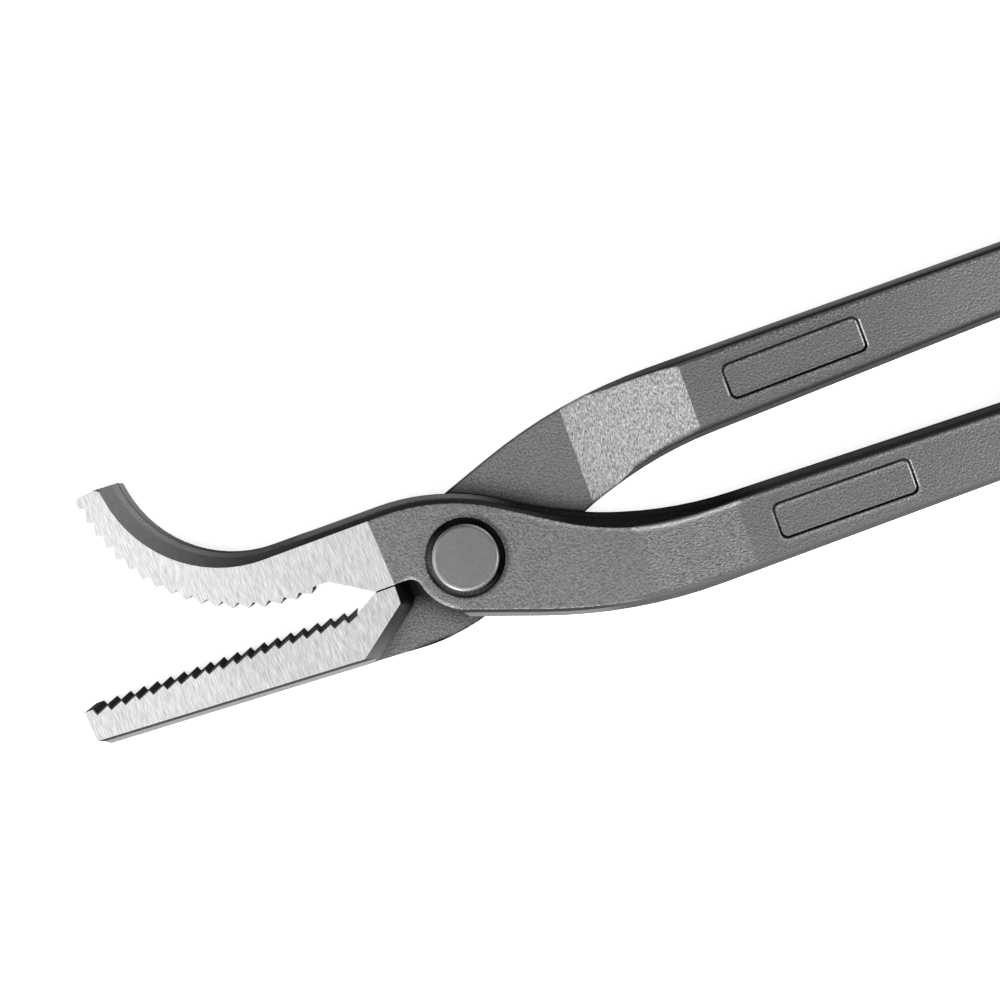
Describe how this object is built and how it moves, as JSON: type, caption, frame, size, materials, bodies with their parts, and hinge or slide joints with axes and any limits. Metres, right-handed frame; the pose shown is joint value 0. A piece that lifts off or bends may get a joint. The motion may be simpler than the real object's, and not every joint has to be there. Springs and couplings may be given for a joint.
{
  "type": "pipe pliers",
  "caption": "Riveted pipe pliers with a curved toothed jaw, a straight toothed jaw and long plain handles that cross in a lap joint and swing open on one rivet.",
  "frame": {"origin": "centre of the rivet's tail, on the underside that the tool rests on", "axes": "+X along the tool towards the handle ends, +Y towards the curved jaw, +Z along the rivet, out of its head"},
  "size_m": [0.3204, 0.0622, 0.0131],
  "materials": {
    "lever_steel": "satin grey coating over a forged skin, jaw faces ground bright",
    "rivet_steel": "satin"
  },
  "bodies": {
    "rear": {"rear_lever": "lever_steel", "pivot_rivet": "rivet_steel"},
    "front": {"front_lever": "lever_steel"}
  },
  "joints": [
    {"name": "lap_pivot", "type": "hinge", "parent": "rear", "child": "front", "pos_m": [0, 0, 0.006], "axis": [0, 0, -1], "range_deg": [0, 36]}
  ]
}
